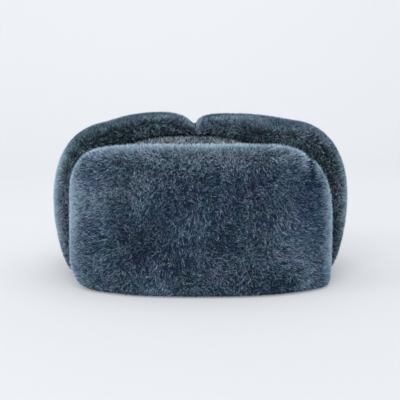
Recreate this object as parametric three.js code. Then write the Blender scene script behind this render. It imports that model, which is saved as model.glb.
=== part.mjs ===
// A winter hat of short fur with its visor and both ear flaps turned up, standing on its rim.
// Millimetres, +Z up. The wearer looks along -Y, so the wearer's left is at +X.
// The origin is on the floor, under the middle of the head opening.
import * as THREE from "three";

// The crown is a padded cloth cap, open below.
const HEAD_LENGTH = 204; // head opening, forehead to nape
const HEAD_WIDTH = 164; // head opening, ear to ear
const CROWN_HEIGHT = 120; // rim to top, outside
const CROWN_WALL = 8; // cloth, wadding and lining together
const PLAN_POWER = 2.6; // how square the opening is from above: 2 is an ellipse
const DOME_POWER = 4.2; // how square the crown's shoulder is from the side

// The visor is a stiffened panel across the forehead.
const VISOR_LENGTH = 234; // along the crown's wall
const VISOR_HEIGHT = 119.5; // at its middle
const VISOR_END_HEIGHT = 102; // where its corners are cut
const VISOR_THICK = 20; // hide, stiffener and the pile on both sides
const VISOR_EDGE_ROLL = 15; // how far in from its upper edge and its ends the visor is rounded over
const VISOR_HEM_ROLL = 8; // the tighter fold at its foot
const VISOR_FLARE = 4; // how far its ends stand off the crown's wall
const VISOR_SQUARE = 5; // how far its foot stands off the crown's round corners on the way there
const VISOR_LEAN = 2; // how far its upper edge stands out from the hem
const VISOR_PUFF = 3; // how far its face swells between the edges

// The ear flaps rise beside the crown, fold over it and meet near its middle line.
const EAR_FLAP_WIDTH = 104; // along the crown's wall
const EAR_FLAP_TOP_THICK = 15; // where it lies on the crown
const EAR_FLAP_STAND_OFF = 15.5; // the most that it bows away from the crown's wall
const EAR_FLAP_TIP = 58; // how much of its width meets the other flap
const MEETING_LINE = -4; // where the two flaps meet, across from the crown's middle line
const FLAP_THICK = 18; // ear flaps and nape flap, where they stand
const FLAP_EDGE_ROLL = 12;
const FLAP_HEM_ROLL = 14; // how far up the fold at the rim is rounded
const FLAP_SEAM_ROLL = 5; // the shallow rounding where an ear flap is sewn to the nape flap

// The nape flap joins the ear flaps round the back of the head.
const NAPE_HEIGHT = 98; // measured up the flap

// A plain tape across the crown holds the two ear flaps up.
const TAPE_WIDTH = 10;
const TAPE_THICK = 1.6;
const KNOT_LENGTH = 15;
const KNOT_THICK = 6;
const TAPE_CLEAR = 1.4; // across the hat at each end, where the flap's edge slants past it

// What the pieces keep between their solids.
const SEAM_GAP = 0.5; // where two are sewn or pressed together
const LIE_GAP = 1.2; // where a flap lies along the crown
// The share of the full thickness that is left at the edge itself.
const EDGE_LEFT = 0.1; // on a free edge and at a fold
const FRONT_LEFT = 0.7; // on an ear flap's front edge, which is cut square
const VISOR_HEM_LEFT = 0.5; // at the visor's foot, where it is creased but not sewn flat
const SEAM_LEFT = 0.8; // where an ear flap is sewn to the nape flap
const NAPE_TOP_LEFT = 0.4; // on the nape flap's upper edge
const GRID_PITCH = 9.5; // about the size of one facet
const SWEEP_PITCH = 7.5; // its size across an ear flap, where the swept edge skews the facets

// Each ear flap's own form: its thickness on the crown as a share of EAR_FLAP_TOP_THICK, and the share of it
// that is left where the two flaps press together. As shares of its width: how far its front edge bulges
// towards the forehead on the way over the crown, how far in its tip lies flat, and over what length it
// rounds up from there.
const EAR_FLAPS = [
  { name: "ear_flap_left", side: 1, full: 0.9, tipLeft: 0.45, bulge: 0.19, tipFlat: 0, tipRoll: 0.17 },
  { name: "ear_flap_right", side: -1, full: 1, tipLeft: 0.36, bulge: -0.02, tipFlat: 0.03, tipRoll: 0.2 },
];

// The visor's corners as shares of its height: their radii, laid flat, and how far the end is drawn in at its
// foot. The wearer's left is at side 1.
const VISOR_CORNERS = [
  { side: 1, low: 0.05, high: 0.5, drawn: 0.05 },
  { side: -1, low: 0.32, high: 0.29, drawn: 0 },
];

// Broad soft hollows of the visor's face: where each lies and how far it reaches, as shares of the visor's
// length from its middle and of its height, and how deep it is as a share of its thickness.
const VISOR_HOLLOWS = [
  { across: 0.02, up: 0.5, wide: 0.26, high: 0.3, deep: 0.16 },
  { across: -0.22, up: 0.2, wide: 0.12, high: 0.16, deep: 0.08 },
  { across: 0.36, up: 0.34, wide: 0.07, high: 0.22, deep: 0.07 },
  { across: -0.36, up: 0.58, wide: 0.06, high: 0.2, deep: 0.05 },
];

const crownHalf = {
  x: HEAD_WIDTH / 2 + CROWN_WALL,
  y: HEAD_LENGTH / 2 + CROWN_WALL,
  z: CROWN_HEIGHT,
};

// A point of the crown's outline from above, pushed out by an offset.
// The angle is 0 at the forehead, a quarter turn at the wearer's left ear and a half turn at the nape.
function planPoint(angle, offset) {
  const bend = (value) => Math.sign(value) * Math.abs(value) ** (2 / PLAN_POWER);
  return new THREE.Vector2(
    (crownHalf.x + offset) * bend(Math.sin(angle)),
    -(crownHalf.y + offset) * bend(Math.cos(angle)),
  );
}

// The height of the crown's outside over a point, with the crown grown by an offset.
function domeHeight(point, offset) {
  const across = (Math.abs(point.x) / (crownHalf.x + offset)) ** PLAN_POWER;
  const along = (Math.abs(point.y) / (crownHalf.y + offset)) ** PLAN_POWER;
  const level = (across + along) ** (DOME_POWER / PLAN_POWER);
  return (crownHalf.z + offset) * Math.max(0, 1 - level) ** (1 / DOME_POWER);
}

// Points with the distance along them, so that one can be found by distance.
function measured(points) {
  const along = [0];
  for (let i = 1; i < points.length; i++) along.push(along[i - 1] + points[i].distanceTo(points[i - 1]));
  return { points, along, total: along[along.length - 1] };
}

function pointAt(line, distance) {
  const wanted = THREE.MathUtils.clamp(distance, 0, line.total);
  const next = Math.max(1, line.along.findIndex((value) => value >= wanted));
  const share = (wanted - line.along[next - 1]) / (line.along[next] - line.along[next - 1]);
  return line.points[next - 1].clone().lerp(line.points[next], share);
}

// The angle at a distance along the crown's wall from the middle of the forehead, to either side.
const PLAN_STEPS = 360;
const planAngles = Array.from({ length: PLAN_STEPS + 1 }, (_, i) => (Math.PI * i) / PLAN_STEPS);
const wallLine = measured(planAngles.map((angle) => planPoint(angle, 0)));

function angleAt(distance) {
  const angleLine = { ...wallLine, points: planAngles.map((angle) => new THREE.Vector2(angle, 0)) };
  return Math.sign(distance) * pointAt(angleLine, Math.abs(distance)).x;
}

// How much of a thickness is left at a distance from a rounded edge.
function rolled(distance, radius, left) {
  const inward = 1 - Math.min(1, Math.max(0, distance) / radius);
  return left + (1 - left) * Math.sqrt(1 - inward * inward);
}

// Shares from 0 to 1 of a length: close together where each end is rounded over, and even between.
const ROLL_STEPS = 4;
function spaced(length, startRoll, endRoll, pitch, steps = ROLL_STEPS) {
  const ramp = Array.from({ length: steps }, (_, i) => 1 - Math.cos((i / steps) * (Math.PI / 2)));
  const middle = Math.max(2, Math.round((length - startRoll - endRoll) / pitch));
  const even = Array.from(
    { length: middle + 1 },
    (_, i) => startRoll + ((length - startRoll - endRoll) * i) / middle,
  );
  const starts = ramp.map((share) => share * startRoll);
  const ends = ramp.map((share) => length - share * endRoll).reverse();
  return [...starts, ...even, ...ends].map((distance) => distance / length);
}

// A geometry from vertices and triangles, turned so that its faces point out.
function closedGeometry(points, triangles) {
  const corner = (i) => points[triangles[i]];
  let volume = 0;
  for (let i = 0; i < triangles.length; i += 3) {
    volume += corner(i).dot(corner(i + 1).clone().cross(corner(i + 2)));
  }
  const index = volume > 0 ? triangles : triangles.slice().reverse();
  const geometry = new THREE.BufferGeometry().setFromPoints(points);
  geometry.setIndex(index);
  geometry.computeVertexNormals();
  return geometry;
}

// A padded panel: an outer and an inner sheet over one grid, joined round their edge.
// point(column, row, side) gives a vertex, with side 1 on the outer sheet and -1 on the inner one.
function paddedPanel(columns, rows, point) {
  const points = [];
  for (const side of [1, -1]) {
    for (const column of columns) {
      for (const row of rows) points.push(point(column, row, side));
    }
  }
  const [wide, high] = [columns.length - 1, rows.length - 1];
  const outer = (i, j) => i * (high + 1) + j;
  const inner = (i, j) => columns.length * rows.length + outer(i, j);
  const triangles = [];
  const quad = (a, b, c, d) => triangles.push(a, b, c, a, c, d);
  for (let i = 0; i < wide; i++) {
    for (let j = 0; j < high; j++) {
      quad(outer(i, j), outer(i + 1, j), outer(i + 1, j + 1), outer(i, j + 1));
      quad(inner(i, j), inner(i, j + 1), inner(i + 1, j + 1), inner(i + 1, j));
    }
    quad(outer(i, 0), inner(i, 0), inner(i + 1, 0), outer(i + 1, 0));
    quad(outer(i, high), outer(i + 1, high), inner(i + 1, high), inner(i, high));
  }
  for (let j = 0; j < high; j++) {
    quad(outer(0, j), outer(0, j + 1), inner(0, j + 1), inner(0, j));
    quad(outer(wide, j), inner(wide, j), inner(wide, j + 1), outer(wide, j + 1));
  }
  return closedGeometry(points, triangles);
}

// The crown's level loops run down its outside, across the flat rim and up its inside.
const CROWN_SEGMENTS = 60;
const CROWN_ROWS = 11;
function crownGeometry() {
  const loop = (height, offset) => {
    const scale = (1 - (height / (crownHalf.z + offset)) ** DOME_POWER) ** (1 / DOME_POWER);
    return Array.from({ length: CROWN_SEGMENTS }, (_, i) => {
      const place = planPoint((2 * Math.PI * i) / CROWN_SEGMENTS, offset).multiplyScalar(scale);
      return new THREE.Vector3(place.x, place.y, height);
    });
  };
  // Even steps of this angle put the loops close together where the shoulder turns.
  const heights = Array.from(
    { length: CROWN_ROWS },
    (_, i) => Math.sin(((i / CROWN_ROWS) * Math.PI) / 2) ** (2 / DOME_POWER),
  );
  const outside = heights.map((share) => loop(share * crownHalf.z, 0)).reverse();
  const inside = heights.map((share) => loop(share * (crownHalf.z - CROWN_WALL), -CROWN_WALL));
  const loops = [...outside, ...inside];
  const points = [
    new THREE.Vector3(0, 0, crownHalf.z),
    ...loops.flat(),
    new THREE.Vector3(0, 0, crownHalf.z - CROWN_WALL),
  ];
  const at = (row, i) => 1 + row * CROWN_SEGMENTS + (i % CROWN_SEGMENTS);
  const triangles = [];
  for (let i = 0; i < CROWN_SEGMENTS; i++) {
    triangles.push(0, at(0, i), at(0, i + 1));
    for (let row = 0; row + 1 < loops.length; row++) {
      triangles.push(at(row, i), at(row + 1, i), at(row + 1, i + 1));
      triangles.push(at(row, i), at(row + 1, i + 1), at(row, i + 1));
    }
    triangles.push(points.length - 1, at(loops.length - 1, i + 1), at(loops.length - 1, i));
  }
  return closedGeometry(points, triangles);
}

// The visor stands on the floor along its hem, and its corners are cut round.
const CORNER_STEPS = 6;
function visorGeometry() {
  const cornerCut = (fromEnd, radius) =>
    fromEnd >= radius ? 0 : radius - Math.sqrt(radius * radius - (radius - fromEnd) ** 2);
  const largest = VISOR_HEIGHT * Math.max(...VISOR_CORNERS.map((corner) => corner.high));
  const hollow = (across, up) =>
    VISOR_HOLLOWS.reduce((sum, place) => {
      const off = ((across - place.across) / place.wide) ** 2 + ((up - place.up) / place.high) ** 2;
      return sum + place.deep * VISOR_THICK * Math.exp(-off);
    }, 0);
  const columns = spaced(VISOR_LENGTH, largest, largest, GRID_PITCH, CORNER_STEPS);
  const rows = spaced(VISOR_HEIGHT, VISOR_HEM_ROLL, VISOR_EDGE_ROLL, GRID_PITCH);
  return paddedPanel(columns, rows, (column, row, side) => {
    const along = (column - 0.5) * VISOR_LENGTH;
    const fromEnd = VISOR_LENGTH / 2 - Math.abs(along);
    const corner = VISOR_CORNERS.find(({ side: end }) => end * along >= 0);
    const outward = Math.abs(2 * column - 1) ** 3;
    const droop = (VISOR_HEIGHT - VISOR_END_HEIGHT) * outward;
    const low = cornerCut(fromEnd, corner.low * VISOR_HEIGHT);
    const high = VISOR_HEIGHT - droop - cornerCut(fromEnd, corner.high * VISOR_HEIGHT);
    const height = low + (high - low) * row;
    const left =
      rolled(height - low, VISOR_HEM_ROLL, VISOR_HEM_LEFT) *
      rolled(high - height, VISOR_EDGE_ROLL, EDGE_LEFT) *
      rolled(fromEnd, VISOR_EDGE_ROLL, EDGE_LEFT);
    const up = height / VISOR_HEIGHT;
    const puff = VISOR_PUFF * Math.sin(Math.PI * column) * Math.sin(Math.PI * up);
    const face = side > 0 ? left * (puff - hollow(column - 0.5, up)) : 0;
    const stand = VISOR_FLARE * outward + VISOR_SQUARE * Math.sin(Math.PI * outward) * (1 - up);
    const middle = SEAM_GAP + VISOR_THICK / 2 + VISOR_LEAN * up + stand;
    const drawn = corner.drawn * VISOR_HEIGHT * outward * (1 - up) ** 4;
    const angle = angleAt(along - corner.side * drawn);
    const place = planPoint(angle, middle + (side * left * VISOR_THICK) / 2 + face);
    return new THREE.Vector3(place.x, place.y, height);
  });
}

// A flap's way up: from the hem at an angle, up the wall and over the crown to the line where they meet.
const ARCH_STEPS = 72;
const ARCH_CROWDING = 4; // crowds the steps into the wall, where the height grows fastest
// How far from the middle of the hat a flap's line ends, as a share of how far from it its foot stands.
const EAR_LEAN = 0.85; // over the ears
const NAPE_LEAN = 0.3; // at the nape
function archLine(angle, offset) {
  const foot = planPoint(angle, offset);
  const lean = NAPE_LEAN + (EAR_LEAN - NAPE_LEAN) * Math.abs(Math.sin(angle));
  const goal = new THREE.Vector2(MEETING_LINE + (Math.sign(foot.x) * SEAM_GAP) / 2, foot.y * lean);
  const flap = EAR_FLAPS.find(({ side }) => side * foot.x >= 0);
  const frontness = Math.max(0, Math.cos(angle) / Math.cos(angleAt(earFlapStart)));
  const bulge = flap.bulge * EAR_FLAP_WIDTH * frontness;
  const points = Array.from({ length: ARCH_STEPS + 1 }, (_, i) => {
    const share = (i / ARCH_STEPS) ** ARCH_CROWDING;
    const place = foot.clone().lerp(goal, share);
    place.y -= bulge * Math.sin(Math.PI * share) ** 2;
    return new THREE.Vector3(place.x, place.y, i ? domeHeight(place, offset) : 0);
  });
  return measured(points);
}

// How far a flap bows away from the crown at a share of the way up its arch, as a share of the most.
const BOW_END = 0.63; // where it lies on the crown again
const BOW_SKEW = 1.02;
const BOW_POWER = 1.02;
function bow(up) {
  const share = Math.min(1, up / BOW_END) ** BOW_SKEW;
  return (4 * share * (1 - share)) ** BOW_POWER;
}

// A flap's full thickness thins from where it stands to where it lies on the crown.
const THIN_FROM = 0.54; // where on the way up it starts to thin
const THIN_TO = 0.74; // and where it has thinned
function flapThickness(up, full) {
  const lying = THREE.MathUtils.smoothstep(up, THIN_FROM, THIN_TO);
  return THREE.MathUtils.lerp(FLAP_THICK, full * EAR_FLAP_TOP_THICK, lying);
}

// A point of a flap at an angle round the crown and a share of the way up its arch.
// left is the share of the thickness that all its edges leave, and pressed the share that its hem, its upper
// edge and its front edge leave, where the inside stays on the crown and only the outside is rounded.
const FRONT_BOW = 1.15; // the bow as a share of EAR_FLAP_STAND_OFF, towards the forehead
const NAPE_BOW = 0.35; // and at the nape
function flapPoint(angle, up, side, left, pressed, full = 1) {
  const thick = flapThickness(up, full);
  const backwards = (1 - Math.cos(angle)) / 2;
  const bowed = THREE.MathUtils.lerp(FRONT_BOW, NAPE_BOW, backwards ** 2);
  const standOff = EAR_FLAP_STAND_OFF * bowed * bow(up);
  const middle = LIE_GAP + standOff + (thick * pressed) / 2;
  const line = archLine(angle, middle + (side * thick * left) / 2);
  return pointAt(line, up * line.total);
}

const earFlapStart = VISOR_LENGTH / 2 + SEAM_GAP;
const earFlapEnd = earFlapStart + EAR_FLAP_WIDTH;
const archLength = (angle) => archLine(angle, LIE_GAP + FLAP_THICK / 2).total;

// How far up its arch an ear flap reaches, in millimetres: to the meeting line along its tip, and then
// down in one sweep to the top of the nape flap.
function earFlapReach(hand, fromFront) {
  const full = archLength(hand * angleAt(earFlapStart + fromFront));
  const swept = THREE.MathUtils.clamp((fromFront - EAR_FLAP_TIP) / (EAR_FLAP_WIDTH - EAR_FLAP_TIP), 0, 1);
  return THREE.MathUtils.lerp(full, NAPE_HEIGHT, (1 - Math.cos(Math.PI * swept)) / 2);
}

function earFlapGeometry({ side: hand, full, tipLeft, tipFlat, tipRoll }) {
  const [flat, roll] = [tipFlat * EAR_FLAP_WIDTH, tipRoll * EAR_FLAP_WIDTH];
  const columns = spaced(EAR_FLAP_WIDTH, FLAP_EDGE_ROLL, FLAP_SEAM_ROLL, SWEEP_PITCH);
  const rows = spaced(archLength((hand * Math.PI) / 2), FLAP_HEM_ROLL, flat + roll, GRID_PITCH);
  return paddedPanel(columns, rows, (column, row, side) => {
    const fromFront = column * EAR_FLAP_WIDTH;
    const angle = hand * angleAt(earFlapStart + fromFront);
    const reach = earFlapReach(hand, fromFront);
    const pressed =
      rolled((1 - row) * reach - flat, roll, tipLeft) *
      rolled(row * reach, FLAP_HEM_ROLL, EDGE_LEFT) *
      rolled(fromFront, FLAP_EDGE_ROLL, FRONT_LEFT);
    const left = pressed * rolled(EAR_FLAP_WIDTH - fromFront, FLAP_SEAM_ROLL, SEAM_LEFT);
    const up = (row * reach) / archLength(angle);
    return flapPoint(angle, up, side, left, pressed, full);
  });
}

function napeFlapGeometry() {
  const start = earFlapEnd + SEAM_GAP;
  const length = 2 * (wallLine.total - start);
  const columns = spaced(length, FLAP_SEAM_ROLL, FLAP_SEAM_ROLL, GRID_PITCH);
  const rows = spaced(NAPE_HEIGHT, FLAP_HEM_ROLL, FLAP_EDGE_ROLL, GRID_PITCH);
  return paddedPanel(columns, rows, (column, row, side) => {
    const fromMiddle = (column - 0.5) * length;
    const fromNape = Math.PI - angleAt(wallLine.total - Math.abs(fromMiddle));
    const angle = Math.PI + Math.sign(fromMiddle) * fromNape;
    const pressed =
      rolled((1 - row) * NAPE_HEIGHT, FLAP_EDGE_ROLL, NAPE_TOP_LEFT) *
      rolled(row * NAPE_HEIGHT, FLAP_HEM_ROLL, EDGE_LEFT);
    const left =
      pressed *
      rolled(length / 2 - Math.abs(fromMiddle), FLAP_SEAM_ROLL, SEAM_LEFT);
    return flapPoint(angle, (row * NAPE_HEIGHT) / archLength(angle), side, left, pressed);
  });
}

// The tape lies on the crown between the two ear flaps' swept edges, knotted in the middle.
// Each row across its width runs from the one flap's edge to the other's.
const TAPE_PLACE = 0.34; // where along the swept edge the tape is sewn on, as a share of the sweep
const TAPE_ROWS = [0, 0.2, 0.5, 0.8, 1]; // shares of its width
const TAPE_PITCH = 4;
function tieTapeGeometry() {
  const front = EAR_FLAP_TIP + TAPE_PLACE * (EAR_FLAP_WIDTH - EAR_FLAP_TIP);
  const edgeAt = (hand, row) => {
    const fromFront = front + (row - 0.5) * TAPE_WIDTH;
    const angle = hand * angleAt(earFlapStart + fromFront);
    const edge = flapPoint(angle, earFlapReach(hand, fromFront) / archLength(angle), -1, 1, 1);
    return new THREE.Vector2(edge.x - hand * TAPE_CLEAR, edge.y);
  };
  const lines = TAPE_ROWS.map((row) => ({ from: edgeAt(-1, row), to: edgeAt(1, row) }));
  const length = edgeAt(-1, 0.5).distanceTo(edgeAt(1, 0.5));
  const columns = spaced(length, TAPE_THICK, TAPE_THICK, TAPE_PITCH);
  return paddedPanel(columns, TAPE_ROWS, (column, row, side) => {
    const { from, to } = lines[TAPE_ROWS.indexOf(row)];
    const place = from.clone().lerp(to, column);
    const fromKnot = Math.abs(column - 0.5) * length;
    const knot = rolled(KNOT_LENGTH / 2 - fromKnot, KNOT_LENGTH / 2, 0) ** 2;
    const top = TAPE_THICK + (KNOT_THICK - TAPE_THICK) * knot * Math.sin(Math.PI * row);
    return new THREE.Vector3(place.x, place.y, domeHeight(place, SEAM_GAP + (side > 0 ? top : 0)));
  });
}

function furMaterial(colour) {
  return new THREE.MeshStandardMaterial({ color: colour, roughness: 0.95, metalness: 0 });
}

const hat = new THREE.Group();
function addPiece(name, geometry, colour) {
  const mesh = new THREE.Mesh(geometry, furMaterial(colour));
  mesh.name = name;
  hat.add(mesh);
}

addPiece("crown", crownGeometry(), 0x59626a);
addPiece("visor_flap", visorGeometry(), 0x4c6072);
for (const flap of EAR_FLAPS) addPiece(flap.name, earFlapGeometry(flap), 0x45545f);
addPiece("nape_flap", napeFlapGeometry(), 0x45545f);
addPiece("tie_tape", tieTapeGeometry(), 0x2b333b);

export default hat;
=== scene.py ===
# A winter hat of sheared fur with its visor and ear flaps turned up, standing on its rim on a pale table.
# Metres, +Z up. The visor faces -Y, and the wearer's left is at +X.
import math

import bmesh
import bpy
import numpy as np
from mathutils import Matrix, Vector
from mathutils.bvhtree import BVHTree


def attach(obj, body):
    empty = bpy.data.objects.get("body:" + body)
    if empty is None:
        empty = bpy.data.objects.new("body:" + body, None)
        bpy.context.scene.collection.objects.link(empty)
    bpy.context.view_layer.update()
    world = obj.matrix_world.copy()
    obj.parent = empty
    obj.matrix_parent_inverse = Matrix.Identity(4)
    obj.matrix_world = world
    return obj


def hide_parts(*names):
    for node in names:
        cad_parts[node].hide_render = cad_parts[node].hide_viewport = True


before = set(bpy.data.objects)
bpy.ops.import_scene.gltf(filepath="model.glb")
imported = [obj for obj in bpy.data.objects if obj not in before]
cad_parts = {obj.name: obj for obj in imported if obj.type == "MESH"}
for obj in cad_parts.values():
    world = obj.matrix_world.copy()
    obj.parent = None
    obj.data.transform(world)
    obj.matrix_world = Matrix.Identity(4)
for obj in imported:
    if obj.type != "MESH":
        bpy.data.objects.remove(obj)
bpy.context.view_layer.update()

MM = 0.001

# Camera: it stands in front of the visor, a hand's breadth above the hat and just over a metre away, with a
# long lens, so that the hat fills most of the picture's width and its rim is near the foot of it.
LOOK_AT = Vector((0, 0, 60.7 * MM))
DISTANCE = 1150 * MM
TURN = math.radians(0.8)
RISE = math.radians(7)
LENS_PER_WIDTH = 3.35

eye = bpy.data.cameras.new("camera")
eye.sensor_width = 36
eye.lens = LENS_PER_WIDTH * eye.sensor_width
eye_stand = bpy.data.objects.new("camera", eye)
towards = Vector((math.sin(TURN) * math.cos(RISE), math.cos(TURN) * math.cos(RISE), -math.sin(RISE)))
eye_stand.location = LOOK_AT - towards * DISTANCE
eye_stand.rotation_euler = towards.to_track_quat("-Z", "Y").to_euler()
bpy.context.scene.collection.objects.link(eye_stand)
bpy.context.scene.camera = eye_stand


# Crown: the cap itself, cut from cloth with wadding behind it, with a short curly pile outside and plain cloth
# inside. The pile stands on the cloth, so the cloth lies a pile's length inside the solid's outer face.
CROWN_PILE = 2.4 * MM
CROWN_HAIRS = 80000
CROWN_HAIR_THICK = 1.0 * MM
CROWN_DYE = (
    {"deep": (0.018, 0.032, 0.042), "main": (0.130, 0.196, 0.246), "light": (0.52, 0.64, 0.71)},
    {"deep": (0.024, 0.030, 0.038), "main": (0.166, 0.196, 0.236), "light": (0.58, 0.63, 0.69)},
)
CLOTH = (0.030, 0.034, 0.040)
VOXEL = 2.6 * MM
SKIN_LIFT = 0.2 * MM  # least height of a skin over the table
TIP_CLEAR = 0.3 * MM  # left between a hair's tip and what it meets
SHORTEST = 0.6 * MM  # hairs that come out shorter than this are left off
ROOT_DEPTH = 0.5 * MM  # how deep a hair stands in its skin
ROOT_LIFT = 0.1 * MM  # least height of a hair's root over the table


def settle(piece):
    """Gives a piece the mesh that its modifiers make, and takes them off."""
    made = bpy.data.meshes.new_from_object(piece.evaluated_get(bpy.context.evaluated_depsgraph_get()))
    piece.modifiers.clear()
    piece.data = made
    for face in made.polygons:
        face.use_smooth = True
    return piece


def rounded_copy(node, name):
    """The node's solid with its facets smoothed away, as a new piece."""
    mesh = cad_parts[node].data.copy()
    soft = bmesh.new()
    soft.from_mesh(mesh)
    bmesh.ops.remove_doubles(soft, verts=soft.verts, dist=0.002 * MM)
    bmesh.ops.join_triangles(
        soft, faces=soft.faces, angle_face_threshold=math.radians(40), angle_shape_threshold=math.radians(60)
    )
    soft.to_mesh(mesh)
    soft.free()
    mesh.materials.clear()
    piece = bpy.data.objects.new(name, mesh)
    bpy.context.scene.collection.objects.link(piece)
    piece.modifiers.new("rounding", "SUBSURF").levels = 2
    return settle(piece)


def points_of(mesh):
    """A mesh's points and their normals, one row each."""
    points = np.empty(len(mesh.vertices) * 3)
    normals = np.empty(len(mesh.vertices) * 3)
    mesh.vertices.foreach_get("co", points)
    mesh.vertices.foreach_get("normal", normals)
    return points.reshape(-1, 3), normals.reshape(-1, 3)


def take_in(piece, depth):
    """Moves each point of a piece inwards along its normal, by a depth that may differ from point to point."""
    mesh = piece.data
    points, normals = points_of(mesh)
    depths = depth(points, normals) if callable(depth) else np.full(len(points), depth)
    moved = points - normals * depths[:, None]
    moved[:, 2] = np.maximum(moved[:, 2], SKIN_LIFT)
    mesh.vertices.foreach_set("co", moved.ravel())
    mesh.update()
    return piece


def shear_line(piece):
    """A piece's surface as a tree for rays, taken before the skin goes in: the pile is sheared level with it."""
    mesh = piece.data
    return BVHTree.FromPolygons([vertex.co for vertex in mesh.vertices], [face.vertices for face in mesh.polygons])


def even_out(piece, size):
    """Rebuilds a skin in even faces, so that nothing folds over at its edges."""
    remesh = piece.modifiers.new("even", "REMESH")
    remesh.mode = "VOXEL"
    remesh.voxel_size = size
    smooth = piece.modifiers.new("smooth", "SMOOTH")
    smooth.factor = 0.5
    smooth.iterations = 4
    return settle(piece)


def swirl(points, length, seed):
    """A smooth random value at each point, about from -1 to 1, that changes over about that length."""
    rng = np.random.default_rng(seed)
    value = np.zeros(len(points))
    waves = 14
    for _ in range(waves):
        way = rng.normal(size=3)
        way *= 2 * math.pi / (length * rng.uniform(0.75, 1.5) * np.linalg.norm(way))
        value += np.sin(points @ way + rng.uniform(0, 2 * math.pi))
    return value * math.sqrt(2 / waves) * 0.7


def walls_round(node):
    """The other solids and the table as one tree for rays, so that hairs end where these begin."""
    far = 300 * MM
    points, faces = [(-far, -far, 0), (far, -far, 0), (far, far, 0), (-far, far, 0)], [[0, 1, 2, 3]]
    for name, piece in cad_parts.items():
        if name == node:
            continue
        start = len(points)
        points += [vertex.co.copy() for vertex in piece.data.vertices]
        faces += [[start + corner for corner in face.vertices] for face in piece.data.polygons]
    return BVHTree.FromPolygons(points, faces)


def room(node, points, normals, reach=22 * MM):
    """How far each point may go along its normal before it meets another solid, up to a reach."""
    walls = walls_round(node)
    found = [walls.ray_cast(Vector(p), Vector(n), reach)[3] for p, n in zip(points, normals)]
    return np.array([reach if far is None else far for far in found])


def pile_depth(node, pile):
    """A depth for take_in: a pile's length where a skin is open, and next to nothing where a neighbour
    presses on it and lays its hairs flat."""
    return lambda points, normals: pile * np.clip((room(node, points, normals) - 1.5 * MM) / (8 * MM), 0.1, 1)


def open_share(node):
    """How thickly a skin is furred: fully where it is open, and hardly where a neighbour covers it."""
    return lambda points, normals: np.clip(room(node, points, normals) / (7 * MM), 0.04, 1)


def fanning(mesh, normals, rounds=12):
    """How sharply a skin turns at each point, from 0 where it is flat: there the pile fans out, and its tone is
    raised as a painted highlight for the light that the turning pile catches. It is found by averaging the
    normals over the points around."""
    edges = np.empty(len(mesh.edges) * 2, np.int64)
    mesh.edges.foreach_get("vertices", edges)
    one, other = edges.reshape(-1, 2).T
    spread = normals.copy()
    for _ in range(rounds):
        total, count = spread.copy(), np.ones(len(spread))
        for here, there in ((one, other), (other, one)):
            np.add.at(total, here, spread[there])
            np.add.at(count, here, 1)
        spread = total / count[:, None]
    return 1 - np.linalg.norm(spread, axis=1)


def shade(node, points, reach=3.5 * MM):
    """How much a neighbour or the table shades each point: 1 where they touch, 0 beyond the reach."""
    walls = walls_round(node)
    found = [walls.find_nearest(Vector(point), reach)[3] for point in points]
    return np.array([0 if far is None else 1 - far / reach for far in found])


def blade_piece(name, blades, paint):
    """One piece of all the blades, three corners each, with the map that their dye is painted by."""
    count = len(blades)
    pile_mesh = bpy.data.meshes.new(name)
    pile_mesh.vertices.add(count * 3)
    pile_mesh.vertices.foreach_set("co", blades.ravel())
    pile_mesh.loops.add(count * 3)
    pile_mesh.loops.foreach_set("vertex_index", np.arange(count * 3))
    pile_mesh.polygons.add(count)
    pile_mesh.polygons.foreach_set("loop_start", np.arange(0, count * 3, 3))
    pile_mesh.uv_layers.new(name="OFBake").data.foreach_set("uv", paint.ravel())
    pile_mesh.update(calc_edges=True)
    piece = bpy.data.objects.new(name, pile_mesh)
    bpy.context.scene.collection.objects.link(piece)
    return piece


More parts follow.
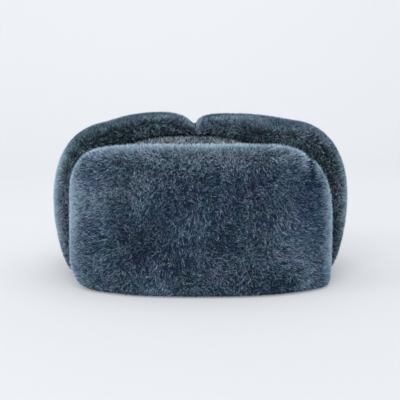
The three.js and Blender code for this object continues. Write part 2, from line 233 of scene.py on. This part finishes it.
def hairs(
    name, skin, shears, node, pile, count, thick, comb, seed, keep, crimp=1.0, rim_highlight=0.8, tone_light_and_shade=(), hang=None
):
    """Grows a pile on a skin: slim flat blades, each twisted its own way, that lean with the comb and with
    slow swirls. Across the map that its dye is painted by, each carries its tone, with painted highlights and
    painted shade worked into it, with the first hue in the left half and the second in the right, and up the
    map its way from root to tip."""
    rng = np.random.default_rng(seed)
    mesh = skin.data
    mesh.calc_loop_triangles()
    points, normals = points_of(mesh)
    corners = np.empty(len(mesh.loop_triangles) * 3, np.int64)
    mesh.loop_triangles.foreach_get("vertices", corners)
    corners = corners.reshape(-1, 3)
    a, b, c = (points[corners[:, k]] for k in range(3))
    weight = np.linalg.norm(np.cross(b - a, c - a), axis=1)
    middle, facing = (a + b + c) / 3, normals[corners].mean(1)
    weight = weight * keep(middle, facing)
    chosen = rng.choice(len(corners), size=count, p=weight / weight.sum())
    s, t = rng.random(count), rng.random(count)
    fold = s + t > 1
    s[fold], t[fold] = 1 - s[fold], 1 - t[fold]
    share = np.stack([1 - s - t, s, t], axis=1)[:, :, None]
    root = (points[corners[chosen]] * share).sum(1)
    up = (normals[corners[chosen]] * share).sum(1)
    up /= np.linalg.norm(up, axis=1)[:, None]
    # Painted highlight: how sharply the skin turns under each hair, which raises its tone below.
    fan = (fanning(mesh, normals)[corners[chosen]] * share[:, :, 0]).sum(1)
    # Painted shade: how near a neighbour or the table is to each hair, which darkens its tone below.
    painted_shade = (shade(node, points + normals * pile)[corners[chosen]] * share[:, :, 0]).sum(1)

    lean = np.tile(np.array(comb, float), (count, 1))
    for axis in range(3):
        lean[:, axis] += 0.22 * swirl(root, 42 * MM, seed + 11 + axis)
        lean[:, axis] += 0.09 * crimp * swirl(root, 13 * MM, seed + 21 + axis)
        lean[:, axis] += 0.06 * crimp * swirl(root, 1.8 * MM, seed + 31 + axis)
    lean += rng.normal(scale=0.42 * crimp, size=lean.shape)
    lean -= up * (lean * up).sum(1)[:, None]
    way = up + lean
    way /= np.linalg.norm(way, axis=1)[:, None]
    uneven = 1 + 0.06 * swirl(root, 4 * MM, seed + 41) + rng.normal(scale=0.1, size=count)

    walls = walls_round(node)
    long = np.full(count, pile)
    spare = np.zeros(count) if hang is None else hang(root, up)
    for i in range(count):
        cut = shears.ray_cast(Vector(root[i]), Vector(way[i]), 2 * pile)[3]
        if cut is not None:
            long[i] = cut + spare[i]
        long[i] *= uneven[i]
        wall = walls.ray_cast(Vector(root[i]), Vector(way[i]), long[i] + TIP_CLEAR)[3]
        if wall is not None:
            long[i] = wall - TIP_CLEAR
    standing = long > SHORTEST
    root, up, way, long = root[standing], up[standing], way[standing], long[standing]
    fan, painted_shade = fan[standing], painted_shade[standing]
    count = len(root)

    tip = root + way * long[:, None]
    tip[:, 2] = np.maximum(tip[:, 2], TIP_CLEAR)
    side = np.cross(way, rng.normal(size=way.shape))
    side /= np.linalg.norm(side, axis=1)[:, None]
    base = root - up * ROOT_DEPTH
    half = (thick / 2) * rng.uniform(0.75, 1.25, count)[:, None]
    blades = np.stack([base - side * half, base + side * half, tip], axis=1)
    blades[:, :, 2] = np.maximum(blades[:, :, 2], ROOT_LIFT)

    # The tone: swirls of the pile's own tone, a painted highlight where the skin turns, painted shade where a
    # neighbour or the table is near, and the listed patches of tone and of painted light and shade.
    tone = 0.40 + 0.09 * swirl(root, 46 * MM, seed + 51) + 0.06 * swirl(root, 9 * MM, seed + 61)
    tone += 0.25 * swirl(root, 1.2 * MM, seed + 71) + rim_highlight * fan - 0.4 * painted_shade
    for across, height, wide, high, lift in tone_light_and_shade:
        tone += lift * np.exp(-(((root[:, 0] - across) / wide) ** 2) - ((root[:, 2] - height) / high) ** 2)
    tone = np.clip(tone + rng.normal(scale=0.24, size=count), 0.02, 0.98)
    second = rng.random(count) < 0.45 + 0.5 * swirl(root, 24 * MM, seed + 81)
    paint = np.broadcast_to(np.array([[-0.006, 0], [0.006, 0], [0, 1]]), (count, 3, 2)).copy()
    paint[..., 0] += (tone[:, None] + second[:, None]) / 2
    return blade_piece(name, blades, paint)


def wire(material, kind, **settings):
    """Adds one node to a material, with its settings."""
    node = material.node_tree.nodes.new(kind)
    for key, value in settings.items():
        setattr(node, key, value)
    return node


def stops(ramp, *pairs):
    """Gives a colour ramp its places and colours."""
    elements = ramp.color_ramp.elements
    while len(elements) < len(pairs):
        elements.new(0.5)
    for element, (place, colour) in zip(elements, pairs):
        element.position = place
        element.color = (*colour, 1)


def dyed_hair(name, dye, sheen):
    """Dyed hair of two hues: dark at the root, its own tone up the hair and paler at the sheared tip."""
    material = bpy.data.materials.new(name)
    material.use_nodes = True
    link = material.node_tree.links.new
    surface = material.node_tree.nodes["Principled BSDF"]
    surface.inputs["Roughness"].default_value = 0.72
    surface.inputs["Specular IOR Level"].default_value = 0.12
    surface.inputs["Sheen Weight"].default_value = sheen
    surface.inputs["Sheen Roughness"].default_value = 0.5
    surface.inputs["Sheen Tint"].default_value = (0.86, 0.94, 1.0, 1)
    where = wire(material, "ShaderNodeUVMap", uv_map="OFBake")
    parts = wire(material, "ShaderNodeSeparateXYZ")
    link(where.outputs["UV"], parts.inputs[0])
    tone = wire(material, "ShaderNodeValToRGB")
    first, second = dye
    stops(
        tone, (0.0, first["deep"]), (0.22, first["main"]), (0.495, first["light"]),
        (0.505, second["deep"]), (0.72, second["main"]), (1.0, second["light"]),
    )
    link(parts.outputs["X"], tone.inputs["Fac"])
    depth = wire(material, "ShaderNodeValToRGB")
    stops(depth, (0.0, (0.22, 0.22, 0.24)), (0.45, (0.62, 0.63, 0.65)), (1.0, (1.5, 1.5, 1.5)))
    link(parts.outputs["Y"], depth.inputs["Fac"])
    both = wire(material, "ShaderNodeMix", data_type="RGBA", blend_type="MULTIPLY")
    both.inputs["Factor"].default_value = 1
    link(tone.outputs["Color"], both.inputs["A"])
    link(depth.outputs["Color"], both.inputs["B"])
    link(both.outputs["Result"], surface.inputs["Base Color"])
    return material


def plain_cloth(name, colour, threads):
    """Plain woven cloth: fine threads both ways, a little uneven in tone."""
    material = bpy.data.materials.new(name)
    material.use_nodes = True
    link = material.node_tree.links.new
    surface = material.node_tree.nodes["Principled BSDF"]
    surface.inputs["Roughness"].default_value = 0.9
    surface.inputs["Specular IOR Level"].default_value = 0.2
    place = wire(material, "ShaderNodeTexCoord")
    cloud = wire(material, "ShaderNodeTexNoise")
    cloud.inputs["Scale"].default_value = threads / 6
    cloud.inputs["Detail"].default_value = 4
    link(place.outputs["Object"], cloud.inputs["Vector"])
    tint = wire(material, "ShaderNodeValToRGB")
    stops(tint, (0.3, [0.7 * part for part in colour]), (0.7, [1.3 * part for part in colour]))
    link(cloud.outputs["Fac"], tint.inputs["Fac"])
    link(tint.outputs["Color"], surface.inputs["Base Color"])
    grain = wire(material, "ShaderNodeTexNoise")
    grain.inputs["Scale"].default_value = threads
    link(place.outputs["Object"], grain.inputs["Vector"])
    bump = wire(material, "ShaderNodeBump")
    bump.inputs["Strength"].default_value = 0.4
    bump.inputs["Distance"].default_value = 0.4 * MM
    link(grain.outputs["Fac"], bump.inputs["Height"])
    link(bump.outputs["Normal"], surface.inputs["Normal"])
    return material


def outside(points, normals):
    """1 where a face of the crown looks out, and 0 on its inside and on the rim."""
    middle = np.array([0, 0, 30 * MM])
    return ((normals * (points - middle)).sum(1) > 0) & (normals[:, 2] > -0.5)


CROWN_TOP = 96 * MM


def on_top(points):
    """1 on the crown's top, where the pile goes on under the flaps' edges."""
    return points[:, 2] > CROWN_TOP


crown = rounded_copy("crown", "crown_cloth")
crown_shears = shear_line(crown)
crown_depth = pile_depth("crown", CROWN_PILE)
take_in(
    crown,
    lambda points, normals: outside(points, normals)
    * np.maximum(crown_depth(points, normals), CROWN_PILE * on_top(points)),
)
crown.data.materials.append(plain_cloth("crown_cloth", CLOTH, 900))
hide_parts("crown")
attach(crown, "root")

crown_open = open_share("crown")
crown_pile = hairs(
    "crown_pile", crown, crown_shears, "crown", CROWN_PILE, CROWN_HAIRS, CROWN_HAIR_THICK, (0, 0, 0), 100,
    keep=lambda points, normals: outside(points, normals)
    * np.maximum(crown_open(points, normals), 0.5 * on_top(points)),
    crimp=1.7,
)
crown_pile.data.materials.append(dyed_hair("crown_hair", CROWN_DYE, 0.1))
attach(crown_pile, "root")


# Visor: a stiffened pad across the forehead, covered in dense sheared fur and turned up against the crown.
# The fur's skin lies a pile's length inside the solid, and the hairs stand on it.
FUR_PILE = 3.8 * MM
HAIR_THICK = 0.9 * MM
VISOR_HAIRS = 170000
VISOR_DYE = (
    {"deep": (0.007, 0.023, 0.048), "main": (0.027, 0.089, 0.164), "light": (0.40, 0.54, 0.61)},
    {"deep": (0.010, 0.020, 0.056), "main": (0.035, 0.079, 0.180), "light": (0.44, 0.53, 0.63)},
)
SKIN = (0.020, 0.034, 0.054)
# At the wearer's left the panel's upper corner is creased: how high, how far across there, and how deep.
CREASE_HEIGHT = (84 * MM, 92 * MM, 99 * MM, 112 * MM)
CREASE_ACROSS = (86.4 * MM, 85.3 * MM, 84.4 * MM, 84.7 * MM)
CREASE_FADE = (0, 0.5, 1, 1)
CREASE_DEPTH = 3.6 * MM
CREASE_REACH = 2 * MM
CREASE_BARE = 0.9 * MM


def creased(points, normals, reach):
    """How near each point of the visor's face is to the crease: 1 along it, and 0 beyond the reach."""
    across = np.interp(points[:, 2], CREASE_HEIGHT, CREASE_ACROSS)
    fade = np.interp(points[:, 2], CREASE_HEIGHT, CREASE_FADE)
    return fade * np.exp(-(((points[:, 0] - across) / reach) ** 2)) * (normals[:, 1] < 0.3)


visor = rounded_copy("visor_flap", "visor_skin")
take_in(visor, lambda points, normals: CREASE_DEPTH * creased(points, normals, CREASE_REACH))
visor_shears = shear_line(visor)
even_out(take_in(visor, pile_depth("visor_flap", FUR_PILE)), VOXEL)
visor.data.materials.append(plain_cloth("fur_skin", SKIN, 700))
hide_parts("visor_flap")
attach(visor, "root")

# Where the face is painted lighter or darker: across, height, reach both ways, and how much. The first six
# rows are patches of tone; the rest are painted light and shade, as marked.
VISOR_TONE_LIGHT_AND_SHADE = (
    (-74 * MM, 82 * MM, 32 * MM, 24 * MM, 0.23),
    (62 * MM, 30 * MM, 38 * MM, 14 * MM, 0.2),
    (66 * MM, 92 * MM, 24 * MM, 14 * MM, 0.06),
    (-8 * MM, 24 * MM, 60 * MM, 12 * MM, 0.05),
    (-58 * MM, 42 * MM, 22 * MM, 18 * MM, -0.01),
    (22 * MM, 66 * MM, 40 * MM, 22 * MM, -0.07),
    # Painted highlight along the top edge.
    (0, 114 * MM, 120 * MM, 11 * MM, 0.46),
    # Painted shade along the foot, by the table.
    (0, 4 * MM, 120 * MM, 6 * MM, -0.12),
    # Painted highlights down both ends, where the face turns away.
    (-109 * MM, 55 * MM, 12 * MM, 60 * MM, 0.9),
    (109 * MM, 46 * MM, 10 * MM, 52 * MM, 1.35),
    # Painted highlights on the ridges either side of the crease.
    (91 * MM, 99 * MM, 4 * MM, 9 * MM, 0.2),
    (77 * MM, 99 * MM, 6 * MM, 6 * MM, 0.16),
    # Painted shade down the crease.
    (84.4 * MM, 101 * MM, 1.0 * MM, 8 * MM, -1.5),
    (85.2 * MM, 92 * MM, 1.1 * MM, 6 * MM, -0.8),
)
visor_open = open_share("visor_flap")

visor_pile = hairs(
    "visor_pile", visor, visor_shears, "visor_flap", FUR_PILE, VISOR_HAIRS, HAIR_THICK, (0.06, 0, -0.12), 200,
    keep=lambda points, normals: visor_open(points, normals) * (1 - 0.9 * creased(points, normals, CREASE_BARE)),
    rim_highlight=1.5, tone_light_and_shade=VISOR_TONE_LIGHT_AND_SHADE,
)
visor_pile.data.materials.append(dyed_hair("visor_hair", VISOR_DYE, 0.06))
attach(visor_pile, "root")


# Ear flaps: two padded, furred flaps that rise beside the crown and fold over it, where their tips press
# together. They and the nape flap are one shade darker and greyer than the visor.
FLAP_HAIRS = 120000
FLAP_DYE = (
    {"deep": (0.008, 0.020, 0.028), "main": (0.036, 0.086, 0.120), "light": (0.34, 0.49, 0.54)},
    {"deep": (0.011, 0.018, 0.034), "main": (0.046, 0.079, 0.138), "light": (0.39, 0.46, 0.57)},
)
flap_hair = dyed_hair("flap_hair", FLAP_DYE, 0.06)

# Where each is painted lighter or darker: across, height, reach both ways, and how much. Besides a lighter
# tuft where the tips meet, the rows are painted light and shade, as marked.
FLAP_TONE_LIGHT_AND_SHADE = {
    "left": (
        # Painted highlight down the outer side.
        (118 * MM, 70 * MM, 10 * MM, 50 * MM, 0.4),
        # A lighter tuft where the tips meet.
        (-1 * MM, 126 * MM, 4 * MM, 6 * MM, 0.35),
        # Painted shade on the front edge, under its overhang above the visor's corner.
        (62 * MM, 112 * MM, 34 * MM, 9 * MM, -0.16),
        # Painted shadow beside the visor's end.
        (104 * MM, 55 * MM, 5 * MM, 42 * MM, -0.22),
    ),
    "right": (
        # Painted highlight down the outer side.
        (-118 * MM, 78 * MM, 12 * MM, 46 * MM, 0.85),
        # Painted shade on the front edge, under its overhang.
        (-62 * MM, 114 * MM, 30 * MM, 8 * MM, -0.1),
        # Painted shadow beside the visor's end.
        (-104 * MM, 55 * MM, 5 * MM, 42 * MM, -0.18),
    ),
}

FRINGE = 1.6 * MM
FRINGE_ABOVE = 100 * MM


def fringe(points, normals):
    """How far the hairs of a flap's front edge hang past it, down onto the crown."""
    return FRINGE * ((normals[:, 1] < -0.15) & (normals[:, 2] < 0.2) & (points[:, 2] > FRINGE_ABOVE))


for seed, side in ((300, "left"), (400, "right")):
    node = f"ear_flap_{side}"
    flap = rounded_copy(node, f"{node}_skin")
    flap_shears = shear_line(flap)
    even_out(take_in(flap, pile_depth(node, FUR_PILE)), VOXEL)
    flap.data.materials.append(bpy.data.materials["fur_skin"])
    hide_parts(node)
    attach(flap, "root")
    pile = hairs(
        f"{node}_pile", flap, flap_shears, node, FUR_PILE, FLAP_HAIRS, HAIR_THICK, (0, -0.06, 0.06), seed,
        keep=open_share(node), tone_light_and_shade=FLAP_TONE_LIGHT_AND_SHADE[side], hang=fringe,
    )
    pile.data.materials.append(flap_hair)
    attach(pile, "root")


# Nape flap: the furred band round the back of the head, sewn to both ear flaps.
NAPE_HAIRS = 120000

nape = rounded_copy("nape_flap", "nape_skin")
nape_shears = shear_line(nape)
even_out(take_in(nape, pile_depth("nape_flap", FUR_PILE)), VOXEL)
nape.data.materials.append(bpy.data.materials["fur_skin"])
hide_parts("nape_flap")
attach(nape, "root")
nape_pile = hairs(
    "nape_pile", nape, nape_shears, "nape_flap", FUR_PILE, NAPE_HAIRS, HAIR_THICK, (0, 0, -0.15), 500,
    keep=open_share("nape_flap"),
)
nape_pile.data.materials.append(flap_hair)
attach(nape_pile, "root")


# Tie tape: plain woven tape with a knot in the middle, which holds the ear flaps up on the crown.
TAPE = (0.020, 0.024, 0.030)

tape = rounded_copy("tie_tape", "tape")
tape.data.materials.append(plain_cloth("tape_weave", TAPE, 1400))
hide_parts("tie_tape")
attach(tape, "root")


# Table and light: a pale table that runs up into a pale wall and glows a little, a painted light that lifts the
# hat's shadow on it and lights the hat a little from below, under soft light from all round with a large soft
# lamp in front and above.
TABLE = (0.45, 0.458, 0.472)
TABLE_FILL_GLOW = 0.26
TABLE_HALF = 2.5
TABLE_FILL_GLOW_HUE = (0.93, 0.96, 1.0)
WALL_FROM = 0.9
WALL_TURN = 0.6
TURN_STEPS = 12
SKY = (0.91, 0.95, 1.0)
SKY_STRENGTH = 0.6

curve = [(-TABLE_HALF, 0)]
for step in range(TURN_STEPS + 1):
    turn = step / TURN_STEPS * math.pi / 2
    curve.append((WALL_FROM + WALL_TURN * math.sin(turn), WALL_TURN * (1 - math.cos(turn))))
curve.append((WALL_FROM + WALL_TURN, TABLE_HALF))
sweep_points = [(x, y, z) for x in (-TABLE_HALF, TABLE_HALF) for y, z in curve]
sweep_faces = [(i, len(curve) + i, len(curve) + i + 1, i + 1) for i in range(len(curve) - 1)]
sweep_mesh = bpy.data.meshes.new("table")
sweep_mesh.from_pydata(sweep_points, [], sweep_faces)
for face in sweep_mesh.polygons:
    face.use_smooth = True
table = bpy.data.objects.new("table", sweep_mesh)
bpy.context.scene.collection.objects.link(table)
pale = bpy.data.materials.new("table")
pale.use_nodes = True
pale_surface = pale.node_tree.nodes["Principled BSDF"]
pale_surface.inputs["Base Color"].default_value = (*TABLE, 1)
pale_surface.inputs["Roughness"].default_value = 0.8
# The glow is painted light: it lifts the hat's shadow on the table and lights the hat a little from below.
pale_surface.inputs["Emission Color"].default_value = (*TABLE_FILL_GLOW_HUE, 1)
pale_surface.inputs["Emission Strength"].default_value = TABLE_FILL_GLOW
table.data.materials.append(pale)

world = bpy.data.worlds.new("studio")
world.use_nodes = True
world.node_tree.nodes["Background"].inputs["Color"].default_value = (*SKY, 1)
world.node_tree.nodes["Background"].inputs["Strength"].default_value = SKY_STRENGTH
bpy.context.scene.world = world
bpy.context.scene.view_settings.view_transform = "Standard"


def lamp(name, place, size, watts, aim):
    """A square soft lamp that looks at a place."""
    light = bpy.data.lights.new(name, "AREA")
    light.size = size
    light.energy = watts
    stand = bpy.data.objects.new(name, light)
    stand.location = place
    stand.rotation_euler = (Vector(aim) - Vector(place)).to_track_quat("-Z", "Y").to_euler()
    bpy.context.scene.collection.objects.link(stand)


lamp("front_lamp", (-0.3, -2.6, 1.5), 1.6, 50, LOOK_AT)
lamp("side_lamp", (-1.7, -0.9, 0.8), 1.0, 12, LOOK_AT)
lamp("top_lamp", (0.2, -0.2, 1.8), 1.4, 10, LOOK_AT)
lamp("wall_lamp", (0, 0.5, 1.4), 1.2, 6, (0, 1.5, 0.7))
